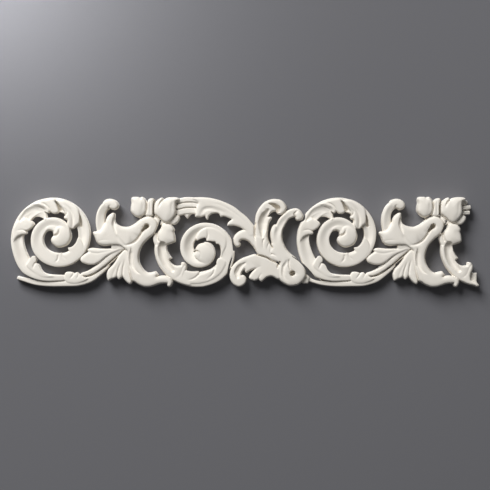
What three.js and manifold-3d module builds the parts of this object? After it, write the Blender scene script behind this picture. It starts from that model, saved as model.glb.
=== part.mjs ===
// A pierced scroll moulding in the acanthus manner, cast in one piece and cut square at its right end.
// Millimetres, +X along its length, +Z up, the flat back on Y = 0 and the carving towards -Y.
import * as THREE from 'three';
import { mergeVertices } from 'three/addons/utils/BufferGeometryUtils.js';
import Module from 'manifold-3d';

const wasm = await Module();
wasm.setup();

// Driving sizes of the real moulding
const mouldingHeight = 91;
const repeatLength = 286;
const reliefDepth = 17;

// The drawing's own sizes: every point on it is placed as a share of the three sizes above
const drawnHeight = 91;
const drawnRepeat = 286;
const drawnDepth = 17;
const originOnDrawing = { x: 15, z: -20 };
const placed = (point) => [
  ((point.x - originOnDrawing.x) * repeatLength) / drawnRepeat,
  (point.y * reliefDepth) / drawnDepth,
  ((point.z - originOnDrawing.z) * mouldingHeight) / drawnHeight,
];

// How finely the forms are cut into facets
const sweepSpacing = 12.5;
const outlineSpacing = 10;
const stopsPerTurn = 12;
const tipStops = [0, 0.25, 1];
const leastGap = 0.02;
const weldDistance = 1e-4;

// Sections across a swept form: places from one edge (-1) to the other (+1)
const roundPlaces = [-1, 0, 1];
const flatPlaces = [-1, -0.7, 0.7, 1];
const covedPlaces = [-1, -0.8, 0, 0.8, 1];

// Sides, tips and borders
const backDraft = 0.5;
const leastHalfWidth = 0.25;
const leastTopShare = 0.6;
const leastTipRoundness = 0.14;
const tipDrop = 0.2;
const longestTip = 0.45;
const borderShareOfFreeWidth = 0.36;
const draftShareOfBorder = 0.3;
const borderGrowth = 1.4;
const borderStep = 0.1;
const borderPasses = 4;
const endTolerance = 0.01;
const parallelTolerance = 1e-6;

// Low bridges behind the open work, and the troughs that are cut into it
const bridgeHalfWidth = 3;
const bridgeHeight = 6;
const troughFloorShare = 0.75;
const troughFlare = 1.15;
const backOvershoot = 1;

const sweeps = [];
const plates = [];
const gouges = [];

// A form carried along its rows: x, z, half width, crest and depth of cove
const sweep = (rows, shape) => sweeps.push({ rows, places: roundPlaces, edge: 0.5, ...shape });

// A leaf or bud cut to an outline, its border rounded over: a third value marks a sharp corner
const plate = (rows, shape) => plates.push({ rows, crest: 13, edge: 0.8, reach: 2.6, ...shape });

// A trough down to a stated height above the back: x, z, half width, height
const gouge = (...rows) => gouges.push({ rows });

const bridges = (...pairs) => pairs.forEach(([startX, startZ, endX, endZ]) => {
  const rows = [[startX, startZ, bridgeHalfWidth, bridgeHeight], [endX, endZ, bridgeHalfWidth, bridgeHeight]];
  sweep(rows, { ends: [false, false] });
});

const listAt = (list, share) => {
  const place = share * (list.length - 1);
  const low = Math.min(Math.floor(place), list.length - 2);
  return THREE.MathUtils.lerp(list[low], list[low + 1], place - low);
};

// Rows of a volute whose outer edge closes in by the same amount each turn
const volute = ({ centre, radius, lossPerTurn, fromAngle, turns, direction, widths, crests, coves }) => {
  const stops = Math.round(turns * stopsPerTurn);
  return Array.from({ length: stops + 1 }, (_, i) => {
    const share = i / stops;
    const angle = fromAngle + direction * share * turns * 2 * Math.PI;
    const half = listAt(widths, share) / 2;
    const out = radius - lossPerTurn * turns * share - half;
    const x = centre.x + out * Math.cos(angle);
    const z = centre.z + out * Math.sin(angle);
    return [x, z, half, listAt(crests, share), listAt(coves, share)];
  });
};

// Draws a unit and moves what it added along the length
const shifted = (draw, dx) => {
  const lists = [sweeps, plates, gouges];
  const marks = lists.map((list) => list.length);
  draw(dx > 0);
  lists.forEach((list, k) => list.slice(marks[k]).forEach((form) => {
    form.rows = form.rows.map(([x, ...rest]) => [x + dx, ...rest]);
  }));
};

function bigScroll() {
  const band = volute({
    centre: { x: -190.4, z: 5.5 }, radius: 44.8, lossPerTurn: 20,
    fromAngle: Math.PI, turns: 1.5, direction: -1,
    widths: [12.5, 14, 12.5, 14.5, 12.8, 11.5, 11],
    crests: [12, 12, 12, 12.5, 13, 13, 13],
    coves: [4.4, 2.6, 3.4, 0.3, 3.4, 1.8, 0.6],
  });
  sweep([[-180, -35, 3, 9, 0], [-191, -35.4, 3, 9, 0], [-200, -35, 3.6, 9.6, 0.4],
    [-209, -31.5, 5.4, 10.8, 0.4], [-218, -25, 7.4, 12, 0.8], [-224.5, -15, 7, 12, 2.4], ...band],
    { places: covedPlaces, edge: 0.8, cove: [-0.25, 1] });
  // Eye of the scroll and the small tongue beside it
  plate([[-190, 16], [-192.5, 11], [-193, 7, 1], [-194.8, 4], [-194.7, 1], [-192.5, -2], [-188, -4.6],
    [-183, -4.2], [-178, -1.5], [-174.9, 4], [-174.8, 9], [-177, 14], [-183, 18]],
    { crest: 14, reach: 7, edge: 0.72 });
  plate([[-203, 10.2, 1], [-199, 11.5], [-195.4, 12.1], [-193.4, 11], [-192.6, 8.4, 1], [-189, 10],
    [-189, 17], [-196, 18], [-201, 15]], { crest: 12.5, edge: 0.75 });
  // Tuft on the left of the band
  plate([[-232.8, -0.5, 1], [-228, 6], [-223.5, 8], [-220.5, 8, 1], [-218.7, 9.5], [-219.5, 11.5, 1],
    [-214.5, 14.5], [-211.5, 18.5, 1], [-213, 21], [-219, 24, 1], [-222, 25.5], [-226, 24], [-231, 19],
    [-233.8, 10]], { crest: 13.2, edge: 0.84, reach: 3 });
  // Leaf in the cove above it
  plate([[-217, 23, 1], [-213, 25.3], [-207, 26], [-202, 24], [-199, 22.5, 1], [-198.5, 25],
    [-199.5, 29], [-201.5, 31, 1], [-208, 33], [-216, 31], [-224, 26, 1]],
    { crest: 8.8, reach: 2.4, edge: 0.9 });
  // Lobes at the top, on a leaf that rises from the outer rim
  plate([[-215, 37.8, 1], [-209.5, 36.8], [-205, 36], [-201.5, 33.5], [-200, 31, 1], [-197.5, 29.5],
    [-195.5, 31.5, 1], [-193.5, 29.5], [-191, 29], [-188.5, 29.5], [-187, 31], [-188, 35],
    [-190.5, 41.5, 1], [-192, 44.2], [-200, 43.4], [-208, 41]], { crest: 13.8, edge: 0.84, reach: 3 });
  gouge([-190.4, 41.4, 0.8, 9], [-187.6, 37, 1.8, 5.5], [-184.6, 32, 3, 4]);
  // Drooping leaf
  plate([[-190, 42, 1], [-184, 34.5], [-181.5, 31], [-181, 27, 1], [-182, 25.5], [-180.5, 23.2, 1],
    [-178.5, 22.5], [-179, 19], [-177, 14.8], [-174.5, 13.8], [-172.5, 14], [-170, 16], [-166, 20],
    [-165.5, 26, 1], [-167, 34], [-174, 40], [-183, 43.5]], { crest: 14, reach: 3.4, edge: 0.82 });
  // Tuft at the lower left
  plate([[-217, -18.5, 1], [-215.5, -15.5], [-212.5, -13], [-210, -15], [-209.5, -18],
    [-210.5, -20.5, 1], [-208, -21], [-206.3, -23], [-204, -27.5], [-199, -31.5], [-192, -33.6, 1],
    [-203, -34], [-213, -28.5], [-219, -22.5]], { crest: 13, edge: 0.84, reach: 3 });
  // Lobes inside the second turn
  plate([[-199, -19], [-198, -12, 1], [-195, -10.8], [-192, -10.5], [-189, -12], [-187.5, -13.5, 1],
    [-186.5, -11], [-185, -9.8], [-183.5, -11, 1], [-181, -11.5], [-178, -10], [-176, -9, 1],
    [-177.5, -6.5], [-178, -4.8, 1], [-174, -4], [-170, 0], [-167.5, 6], [-164, 3], [-167, -7],
    [-175, -16], [-186, -20], [-195, -21]], { crest: 13.2, edge: 0.86, reach: 3 });
}

function strandsAndClip() {
  sweep([[-229, -34.8, 1.9, 8], [-220, -37.5, 2.3, 8.4], [-210, -40, 2.5, 8.6], [-198, -41.2, 2.6, 8.8],
    [-182, -41, 2.9, 9], [-168, -39.7, 3.8, 9.2], [-156, -36.3, 3.5, 9.2], [-148, -31.4, 2.8, 9],
    [-142, -26.9, 1.9, 9], [-136.5, -22, 1, 8.5]],
    { places: flatPlaces, edge: 0.84, ends: [false, true] });
  // Clip: a leaf tied round them
  plate([[-181.5, -37.5], [-181.5, -32], [-180, -29.5], [-176.5, -29], [-173, -29.8], [-172, -31, 1],
    [-170.5, -29.8], [-168.5, -29.5], [-167, -31, 1], [-163, -33.5], [-156, -35.5, 1], [-162, -39],
    [-170, -41.2], [-178, -40.6, 1]], { crest: 11.8, reach: 4, edge: 0.8 });
  // Rod that climbs to the calyx
  sweep([[-166, -31.8, 1.6, 9.4], [-158, -30.4, 2.7, 10.4], [-150, -26, 3.1, 10.8],
    [-142, -19.9, 3.1, 11], [-134, -13.2, 3, 11.4], [-126, -6.8, 2.9, 11.8], [-120.5, -3, 2.8, 12]],
    { places: flatPlaces, edge: 0.72, ends: [false, false] });
}

function calyx() {
  // Rolled horn
  sweep([[-142.5, 6, 5, 11, 0], [-145, 15, 4.9, 12.5, 1], [-145.8, 22, 4.9, 13, 2.2],
    [-145, 29, 4.5, 13.4, 2.2], [-141.8, 35.2, 4.4, 14, 1], [-136.6, 38.6, 4.8, 14.6, 0]],
    { places: covedPlaces, edge: 0.7, cove: [-0.2, 0.8] });
  plate([[-141.5, 36.5], [-138.5, 34], [-136, 34.6], [-134, 33.1], [-131, 32.8], [-128.3, 34.3],
    [-127, 37.5], [-128, 40.3], [-131, 42.9], [-136, 44], [-141, 42.6], [-143, 39.5]],
    { crest: 14.8, reach: 4.5, edge: 0.78 });
  // Spiked leaf, throat and stem
  plate([[-140.7, 19.5, 1], [-139.5, 24], [-137, 27.5], [-133, 30], [-131, 29.5, 1], [-130.7, 26],
    [-131, 23.5], [-130, 20], [-127, 17.5], [-119, 16], [-113, 18], [-105, 24], [-100, 26.2],
    [-95, 26.2], [-89.5, 22], [-88, 18], [-88.5, 14], [-91, 9.5], [-99, 2.5], [-104, -3.5],
    [-107, -13.5], [-105, -22.5], [-98.5, -29.5], [-90, -28.3, 1], [-87.5, -32], [-89, -33.5, 1],
    [-81, -32.8], [-75, -35.5], [-73, -39], [-75, -43.8], [-77, -44.3, 1], [-78.5, -43], [-79, -40.5, 1],
    [-85, -41], [-95, -44], [-100, -44.3], [-105, -43], [-113.5, -38, 1], [-116.5, -30], [-118, -20],
    [-119, -8, 1], [-126, -3], [-134.5, -2.5, 1], [-142, -3], [-147, -1.5], [-149.5, 1, 1],
    [-151.5, 6.5], [-153, 9.5], [-152.5, 11], [-147, 11.5, 1], [-144, 14]],
    { crest: 15, reach: 5, edge: 0.76 });
  gouge([-133.2, 28, 1.2, 10], [-132.6, 21, 2.4, 8.5], [-130.4, 14, 3, 10.5], [-127.5, 9, 3, 14.5]);
  gouge([-103.6, 12, 1, 6], [-99.2, 16.6, 2, 3]);
  gouge([-112.4, -8, 2.6, 11], [-112.6, -15, 4.4, 9.4], [-110.8, -22.6, 4.4, 9.6], [-107, -27, 2.4, 12]);
  // Side lobe
  plate([[-121, -2.5, 1], [-132, -5.2], [-145, -5.8], [-155, -5.2], [-158.5, -7], [-157.5, -9, 1],
    [-163, -13], [-165.5, -16.5], [-164, -19.5], [-155, -22.2], [-148, -20.5], [-138, -13],
    [-121, -6, 1]], { crest: 12.6, reach: 3.4 });
  // Fan of lobes that hangs below
  plate([[-121, -7], [-133, -22], [-138, -27.5], [-139.2, -33], [-137.5, -38], [-135.5, -37],
    [-130.5, -35], [-129, -34.3, 1], [-127, -36.7], [-125, -35.5], [-123.5, -33.6, 1], [-119.5, -39],
    [-115.5, -41.5], [-113.5, -38], [-114, -25], [-116, -10]], { crest: 12.5, reach: 2.8 });
}

function flowers(cutShort) {
  // Only the starts of the next reeds, where the moulding is cut off
  const stubs = [[38.6, 1.6, -63.6, 1.6], [34, 1.2, -61, 1.9], [29.6, -0.2, -61.4, 2]];
  if (cutShort) {
    stubs.forEach(([z, rise, reach, half]) => {
      const rows = [[-72, z, half, 10], [reach, z + rise, half, 9]];
      sweep(rows, { places: flatPlaces, edge: 0.8, ends: [true, false] });
    });
  }
  plate([[-114.5, 40], [-114.8, 43], [-114, 45.4], [-108, 46, 1], [-106, 45, 1], [-104, 46, 1],
    [-101.5, 44.8], [-99.2, 41], [-99, 35], [-99.5, 31], [-102, 27.5], [-107, 25.2], [-110, 26], [-115, 31],
    [-115.2, 36]], { crest: 16.5, reach: 4.6, edge: 0.78 });
  plate([[-98.5, 41], [-97, 43.5], [-95, 44.5], [-92.5, 44.3], [-91, 43], [-92.5, 37], [-92.8, 27, 1],
    [-97, 26], [-101, 28], [-99.4, 35]], { crest: 14.5, reach: 2.4 });
  plate([[-90.8, 40], [-92.2, 34], [-92, 30], [-88, 25.5], [-82, 20.5], [-78, 20], [-71.5, 26],
    [-69.8, 30], [-69.9, 38], [-69.5, 41], [-66.8, 42.5], [-66.5, 44], [-69, 45.3], [-79, 45],
    [-81.5, 43.5, 1], [-84, 45.2], [-87.5, 43.5]], { crest: 17, reach: 6, edge: 0.76 });
  plate([[-84, 19.5], [-77, 19], [-72, 18], [-69, 19.5], [-66.5, 23], [-66.2, 25.5], [-69, 27.5],
    [-74, 24], [-80, 22.5]], { crest: 12.5 });
  plate([[-83, 19.3], [-75, 18.3], [-71.3, 13.5], [-72, 11, 1], [-70.6, 6], [-70.7, 1], [-74, -0.7],
    [-80, -2.5], [-86, -2.2], [-89, 5], [-88, 10.5], [-85.5, 14]], { crest: 16, reach: 5, edge: 0.76 });
  plate([[-89, 10], [-92, 7.5], [-93, 4], [-91, -2.5], [-89.5, -4.2], [-84, -4.5], [-84, 6]],
    { crest: 12 });
  plate([[-92, 27], [-86, 28], [-82, 22], [-85, 18], [-90, 20]], { crest: 11.5 });
}

function lowerCurl(cutShort) {
  const hooked = [[-59, -42.7], [-54.6, -44.1], [-53, -42.6, 1], [-55, -39.6, 1], [-61, -37.4, 1]];
  const running = [[-54, -44, 1], [-54, -36, 1]];
  plate([[-91.3, -2, 1], [-91.5, -9], [-90, -16], [-87, -23], [-82, -30], [-76, -35.5], [-70, -39],
    [-64, -41.6], ...(cutShort ? hooked : running), [-61.5, -33], [-60, -28.5], [-59, -25], [-60, -21],
    [-62, -19.5], [-64.5, -19.5], [-65, -22.5, 1], [-70, -22.8], [-74, -21], [-77, -17.5, 1],
    [-73.5, -15.5, 1], [-75.5, -13], [-78.5, -8], [-79.5, -2, 1]], { crest: 12.8, reach: 2.8, edge: 0.8 });
  // The next scroll's band, cut off square
  if (cutShort) {
    plate([[-63, -34, 1], [-60.5, -31], [-57, -29.8, 1], [-55, -30, 1], [-55.1, -39.4, 1], [-62, -39, 1]],
      { crest: 8.4, edge: 0.92, reach: 1.5 });
  }
  gouge([-84.5, -4, 3.4, 8], [-83.5, -12, 3.6, 8], [-79.5, -21, 3.6, 8.5], [-73, -29, 2.6, 9.5]);
}

function lowerScroll() {
  const band = volute({
    centre: { x: -43.6, z: -7.2 }, radius: 37, lossPerTurn: 19.6,
    fromAngle: -Math.PI / 2, turns: 1.5, direction: 1,
    widths: [15.5, 14, 12.5, 14, 14.5, 11, 10],
    crests: [12, 12, 12, 12.5, 13, 13, 13],
    coves: [1, 2, 3.2, 4.6, 3.4, 1.4, 0.4],
  });
  sweep([[-66, -36.5, 4.6, 11, 0], [-56, -37.4, 6.6, 12, 0], ...band],
    { places: covedPlaces, edge: 0.8, cove: [0.32, 1.08] });
  plate([[-47, -19], [-52, -13], [-51.4, -9, 1], [-50, -5], [-47.5, -1.6], [-43, -0.2], [-38, -1],
    [-34, -4], [-31, -10], [-33, -18], [-40, -22]], { crest: 14, reach: 7, edge: 0.72 });
  plate([[-62, -28.2], [-54, -28.7], [-47, -28.4, 1], [-47.5, -32, 1], [-43, -30.5], [-37, -28],
    [-31, -25, 1], [-29.5, -22], [-29.5, -19], [-27.5, -15.5], [-24.5, -15, 1], [-20, -19], [-25, -30],
    [-36, -38], [-50, -41], [-62, -39]], { crest: 13.4, reach: 3, edge: 0.86 });
  plate([[-20, -10], [-24, -9], [-25, -4.5], [-27, -1.5], [-30, -1, 1], [-30.5, 1], [-34, 1.5],
    [-39.5, 2, 1], [-40.5, 5], [-44, 4.5], [-49.5, 2, 1], [-48, 9], [-40, 15], [-30, 14], [-20, 6]],
    { crest: 13.4, reach: 3, edge: 0.86 });
}

function arch() {
  // Three reeds that open into a long leaf
  const reeds = [[41, 43, 42, 2.7, 10.6], [35.4, 38, 37.5, 2.8, 11], [29, 31.8, 32, 3.1, 10.6]];
  reeds.forEach(([left, middle, right, half, crest]) => {
    const rows = [[-70, left, half, crest], [-60, middle, half, crest], [-48, right, half, crest]];
    sweep([...rows, [-40, right - 1, half, crest]], { places: flatPlaces, edge: 0.82, ends: [false, false] });
  });
  plate([[-64, 30], [-62, 27.5], [-58.5, 24, 1], [-56, 27.5], [-51, 31]], { crest: 9.5 });
  plate([[-54, 44.6], [-45, 45.5], [-36, 44.8], [-28, 43], [-20, 40], [-12, 36], [-5, 30.5], [0, 26.5],
    [5, 21], [8.5, 16], [10, 8], [4, 6], [-2, 13], [-10, 16.8], [-19, 17, 1], [-18, 20], [-14, 23.5, 1],
    [-18, 25.2], [-23, 26.5], [-25.5, 25.5, 1], [-27, 29], [-33, 29.3], [-36.5, 27], [-38, 23, 1],
    [-39.5, 23.5], [-41, 27, 1], [-46, 25.6], [-51, 26, 1], [-49.5, 34.5], [-48, 40]],
    { crest: 13.6, reach: 4, edge: 0.8 });
  // Small curl under the arch
  plate([[6, 13], [-2, 13.5], [-9, 10], [-12.6, 5], [-12.4, 0], [-10, -4], [-8, -4.6], [-5.5, -3],
    [-5, -1], [-6, 0.5], [-5, 2.5], [-2, 2.8], [2, 1.4], [7, -4], [10, -8.5], [13, -12], [16, -6],
    [12, 6]], { crest: 13, reach: 3.6, edge: 0.74 });
}

function horns() {
  plate([[9, 12], [8.8, 18], [10.5, 30], [17, 39.5], [22, 42.5], [28, 43.8], [34, 43], [38, 40.5],
    [40.7, 35.5], [39, 31], [36, 28.5], [34, 28], [31.5, 29], [30, 31, 1], [27, 31], [21, 25.5, 1],
    [24, 26.2], [26, 25], [23, 19], [22, 12], [22, 5], [24, 0], [27, -5], [28, -19], [20, -15],
    [12, -11.5], [10, -5], [8, 3]], { crest: 13.8, reach: 2.4, edge: 0.8 });
  gouge([14.4, 4, 2.4, 13], [15, 10, 3.6, 9], [15.6, 18, 3.8, 7], [17.6, 26, 3.4, 7.5],
    [21, 32, 2.4, 11]);
  gouge([23.4, 39.2, 0.8, 12], [28, 37.6, 1.8, 7.5], [31.8, 34.6, 2.2, 6], [32, 31.4, 1.6, 7]);
  // Ribbed leaf at its foot
  plate([[9, 7.5, 1], [12, 7.4], [15.5, 6.4], [17.6, 2.8, 1], [18.4, 5.4], [20.9, 5.9, 1], [21.6, 2],
    [22.8, -1.2, 1], [23.4, -3.4], [25, -6.4, 1], [24.4, -9], [27, -13], [31, -18.4], [21, -15.2],
    [12, -11.4], [9.6, -4]], { crest: 14.4, reach: 3.4, edge: 0.84 });
  // Second horn, running down into the rolled end
  plate([[24, -10], [24, -3], [25.5, 0], [24.5, 5], [24.5, 11], [26, 15.5], [28, 18], [29.5, 18.5],
    [30, 17.5, 1], [33, 24], [40, 31], [44, 33.5], [49, 34.5], [53, 33.5], [57.5, 27], [56.5, 23.5],
    [54, 22], [51, 22], [49.5, 23.5], [49, 26, 1], [43, 23.5], [37, 13], [36.3, 8], [37, 2], [42, -8],
    [50, -15], [58, -23], [60, -29], [59.5, -34], [53, -41.5], [48, -43], [42, -42.8], [33, -36.5],
    [32, -28], [33, -20], [27, -16]], { crest: 14.6, reach: 6, edge: 0.76 });
  // Tuft on its left, below
  plate([[27, -5.4, 1], [24.6, -7.4], [24.2, -10], [25.8, -11.4, 1], [23.8, -13], [25.6, -16, 1],
    [31, -18.6], [36, -19.4, 1], [34.4, -12], [31.4, -7.4]], { crest: 14.8, reach: 2.6, edge: 0.86 });
  // Rolled end with its hole
  gouge([46.3, -30.6, 2.1, 0.6], [46.5, -30.4, 2.1, 0.6]);
}

function footLeaf() {
  plate([[2, -13.2], [6, -11.8], [9, -11.3], [14, -12.3], [22, -15], [31, -20], [35, -26], [33, -36.5],
    [26, -33.7], [21, -34.5], [18, -37], [15.5, -39], [12.5, -36.5, 1], [9, -38], [5, -37], [3, -35],
    [4, -32], [9, -26, 1], [5, -27.5], [0, -30], [-1, -28.5], [-1.5, -26.5, 1], [-3.5, -29],
    [-5, -32, 1], [-2, -32.5], [0, -35], [0.3, -38.5], [-2, -42], [-7, -44], [-12, -42], [-15.5, -37],
    [-16.3, -31], [-14, -24], [-9.5, -19], [-4, -15.5]], { crest: 14, reach: 3.6, edge: 0.78 });
  gouge([-1, -20, 2, 13.5], [-6.5, -24, 3, 10], [-9, -30, 3.4, 9], [-8.4, -35, 2.6, 10.5]);
  plate([[61, -31.5, 1], [64, -34], [62, -41, 1], [56, -40]], { crest: 10 });
}

// What repeats along the moulding
function unit(cutShort) {
  bigScroll();
  strandsAndClip();
  calyx();
  flowers(cutShort);
  lowerCurl(cutShort);
  bridges([-107, 29, -104, 21], [-96, 31, -86, 30], [-95, -36, -72, -36]);
}

shifted(unit, 0);
shifted(unit, drawnRepeat);
lowerScroll();
arch();
horns();
footLeaf();
bridges([-14, 2, -6, 0], [-18, -26, -8, -26], [34, 33, 44, 30], [50, 27, 64, 26], [50, -34, 70, -38]);

// Roundness of a tip: 1 away from it, falling to nearly nothing at the very end
const roundTip = (place, reach) => {
  const inside = reach > 0 ? 1 - Math.min(place / reach, 1) : 0;
  return Math.max(Math.sqrt(1 - inside * inside), leastTipRoundness);
};

// A form's rows followed by a smooth curve, with the tips rounded off unless they are cut
function stations({ rows, ends = [true, true] }) {
  const points = rows.map(([x, z]) => new THREE.Vector3(x, 0, z));
  const curve = new THREE.CatmullRomCurve3(points, false, 'centripetal');
  const column = (k) => rows.map((row) => row[k] ?? 0);
  const [halves, crests, coves] = [column(2), column(3), column(4)];
  const gaps = points.slice(1).map((point, i) => point.distanceTo(points[i]));
  const last = gaps.length;
  const startReach = ends[0] ? Math.min(halves[0] / gaps[0], longestTip) : 0;
  const endReach = ends[1] ? Math.min(halves[last] / gaps[last - 1], longestTip) : 0;
  const start = tipStops.map((part) => part * startReach);
  const end = tipStops.map((part) => last - part * endReach);
  const between = gaps.flatMap((gap, i) => {
    const parts = Math.max(1, Math.round(gap / sweepSpacing));
    return Array.from({ length: parts }, (_, k) => i + k / parts);
  }).filter((place) => place > startReach && place < last - endReach);
  const all = [...start, ...between, ...end].sort((a, b) => a - b);
  const spread = all.filter((place, i) => i === 0 || place - all[i - 1] > leastGap);
  return spread.map((place) => {
    const share = place / last;
    const tangent = curve.getTangent(share);
    const rounding = Math.min(roundTip(place, startReach), roundTip(last - place, endReach));
    return {
      centre: curve.getPoint(share),
      side: new THREE.Vector3(-tangent.z, 0, tangent.x).normalize(),
      half: Math.max(listAt(halves, share) * rounding, leastHalfWidth),
      crest: listAt(crests, share) * (1 - tipDrop + tipDrop * rounding),
      cove: listAt(coves, share) * rounding,
    };
  });
}

// Height of a section at one place between its two edges
const heightAt = (form, station, place) => {
  const edge = station.crest * form.edge;
  const isRound = form.places === roundPlaces;
  const bulge = isRound ? Math.sqrt(1 - place ** 2) : Math.sqrt(Math.sqrt(1 - place ** 4));
  const [coveAt, coveReach] = form.cove ?? [0, 1];
  const hollow = Math.max(1 - ((place - coveAt) / coveReach) ** 2, 0) ** 2;
  return edge + (station.crest - edge) * bulge - station.cove * hollow;
};

const across = (station, place, half, height) => {
  const point = station.centre.clone().addScaledVector(station.side, place * half);
  return point.setY(-height);
};

// One closed body swept along a form, a little past the back plane
const sweptBody = (form) => tube(stations(form).map((station) => {
  const half = Math.max(station.half - backDraft, station.half * leastTopShare);
  const top = form.places.map((place) => across(station, place, half, heightAt(form, station, place)));
  const foot = [1, -1].map((place) => across(station, place, station.half, -backOvershoot));
  return [...top, ...foot];
}));

// The body that a gouge takes away: a trough with a flat floor, open above
const troughBody = (form) => tube(stations(form).map((station) => {
  const pair = (places, half, height) => places.map((place) => across(station, place, half, height));
  const floor = pair([1, -1], station.half * troughFloorShare, station.crest);
  const open = pair([-1, 1], station.half * troughFlare, drawnDepth + backOvershoot);
  return [...floor, ...open];
}));

const indexed = (rings, index) => {
  const geometry = new THREE.BufferGeometry();
  geometry.setAttribute('position', new THREE.Float32BufferAttribute(rings.flat().flatMap(placed), 3));
  geometry.setIndex(index);
  return geometry;
};

// Rings of equal length joined into one closed body with flat ends
function tube(rings) {
  const around = rings[0].length;
  const last = (rings.length - 1) * around;
  const index = [];
  for (let from = 0; from < last; from += around) {
    for (let j = 0; j < around; j += 1) {
      const a = from + j;
      const b = from + ((j + 1) % around);
      index.push(a, a + around, b, b, a + around, b + around);
    }
  }
  const pivot = around - 1;
  for (let j = 0; j < pivot - 1; j += 1) {
    index.push(pivot, j, j + 1);
    index.push(last + pivot, last + j + 1, last + j);
  }
  return indexed(rings, index);
}

// Points round a closed outline: smooth between its sharp corners
function outlinePoints(outline) {
  const vector = ([x, z]) => new THREE.Vector3(x, 0, z);
  const corners = outline.map((point, i) => (point[2] ? i : -1)).filter((i) => i >= 0);
  if (corners.length === 0) {
    const loop = new THREE.CatmullRomCurve3(outline.map(vector), true, 'centripetal');
    return loop.getSpacedPoints(Math.round(loop.getLength() / outlineSpacing)).slice(0, -1);
  }
  return corners.flatMap((from, k) => {
    const to = corners[(k + 1) % corners.length];
    const count = ((to - from + outline.length - 1) % outline.length) + 1;
    const run = Array.from({ length: count + 1 }, (_, i) => vector(outline[(from + i) % outline.length]));
    const curve = new THREE.CatmullRomCurve3(run, false, 'centripetal');
    const steps = run.length === 2 ? 1 : Math.max(1, Math.round(curve.getLength() / outlineSpacing));
    return curve.getSpacedPoints(steps).slice(0, -1);
  });
}

// How wide the rounded border can be at each point before it meets the one opposite
function borderReaches(points, normals, reach) {
  const free = points.map((point, i) => {
    let nearest = Infinity;
    points.forEach((from, j) => {
      const after = (j + 1) % points.length;
      if (j === i || after === i) return;
      const edge = points[after].clone().sub(from);
      const cross = normals[i].x * edge.z - normals[i].z * edge.x;
      if (Math.abs(cross) < parallelTolerance) return;
      const gap = from.clone().sub(point);
      const along = (gap.x * edge.z - gap.z * edge.x) / cross;
      const share = (gap.x * normals[i].z - gap.z * normals[i].x) / cross;
      const meets = along > 0 && share >= -endTolerance && share <= 1 + endTolerance;
      if (meets) nearest = Math.min(nearest, along);
    });
    return Math.min(reach, nearest * borderShareOfFreeWidth);
  });
  for (let pass = 0; pass < borderPasses; pass += 1) {
    free.forEach((own, i) => {
      const beside = Math.min(free.at(i - 1), free[(i + 1) % free.length]);
      free[i] = Math.min(own, beside * borderGrowth + borderStep);
    });
  }
  return free;
}

// A plate: upright sides with a little draft, then the border rounded over to a flat top
function plateBody({ rows, crest, edge, reach }) {
  const points = outlinePoints(rows);
  const flat = () => points.map((point) => new THREE.Vector2(point.x, point.z));
  if (THREE.ShapeUtils.area(flat()) < 0) points.reverse();
  const normals = points.map((point, i) => {
    const entering = point.clone().sub(points.at(i - 1)).normalize();
    const leaving = points[(i + 1) % points.length].clone().sub(point).normalize();
    const along = entering.add(leaving);
    return new THREE.Vector3(-along.z, 0, along.x).normalize();
  });
  const free = borderReaches(points, normals, reach);
  const ringAt = (inset, height) => points.map((point, i) => {
    const draft = inset > 0 ? Math.min(backDraft, free[i] * draftShareOfBorder) : 0;
    const at = point.clone().addScaledVector(normals[i], draft + free[i] * Math.max(inset - endTolerance, 0));
    return at.setY(-height(free[i] * inset));
  });
  const swell = (inset) => crest * (edge + (1 - edge) * Math.sqrt(1 - (1 - Math.min(inset / reach, 1)) ** 2));
  const rings = [ringAt(0, () => -backOvershoot), ringAt(endTolerance, () => crest * edge), ringAt(1, swell)];
  const around = points.length;
  const top = (rings.length - 1) * around;
  const index = [];
  for (let from = 0; from < top; from += around) {
    for (let j = 0; j < around; j += 1) {
      const a = from + j;
      const b = from + ((j + 1) % around);
      index.push(a, b, a + around, b, b + around, a + around);
    }
  }
  THREE.ShapeUtils.triangulateShape(flat(), []).forEach(([a, b, c]) => {
    index.push(top + a, top + b, top + c);
    index.push(a, c, b);
  });
  return indexed(rings, index);
}

const toSolid = (geometry) => {
  const merged = mergeVertices(geometry, weldDistance);
  return new wasm.Manifold(new wasm.Mesh({
    numProp: 3,
    vertProperties: new Float32Array(merged.attributes.position.array),
    triVerts: new Uint32Array(merged.index.array),
  }));
};

const toGeometry = (solid) => {
  const mesh = solid.getMesh();
  const geometry = new THREE.BufferGeometry();
  geometry.setAttribute('position', new THREE.BufferAttribute(new Float32Array(mesh.vertProperties), 3));
  geometry.setIndex(new THREE.BufferAttribute(new Uint32Array(mesh.triVerts), 1));
  return geometry;
};

// Every form joined, the troughs cut, and the back planed flat
const joined = [...sweeps.map(sweptBody), ...plates.map(plateBody)].map(toSolid);
const troughs = gouges.map(troughBody).map(toSolid);
const slabSize = 3 * repeatLength;
const behind = new THREE.BoxGeometry(slabSize, slabSize, slabSize);
behind.deleteAttribute('normal');
behind.deleteAttribute('uv');
behind.translate(0, slabSize / 2, 0);
const carved = joined.reduce((whole, solid) => whole.add(solid));
const casting = [...troughs, toSolid(behind)].reduce((whole, solid) => whole.subtract(solid), carved);

const resin = new THREE.MeshStandardMaterial({ color: 0xe9e5dd, roughness: 0.6, metalness: 0 });
const body = new THREE.Mesh(toGeometry(casting), resin);
body.name = 'scroll_moulding';
const moulding = new THREE.Group();
moulding.add(body);

export default moulding;
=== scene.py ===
import math
import bpy
import numpy as np
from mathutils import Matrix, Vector
from mathutils.geometry import delaunay_2d_cdt


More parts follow.
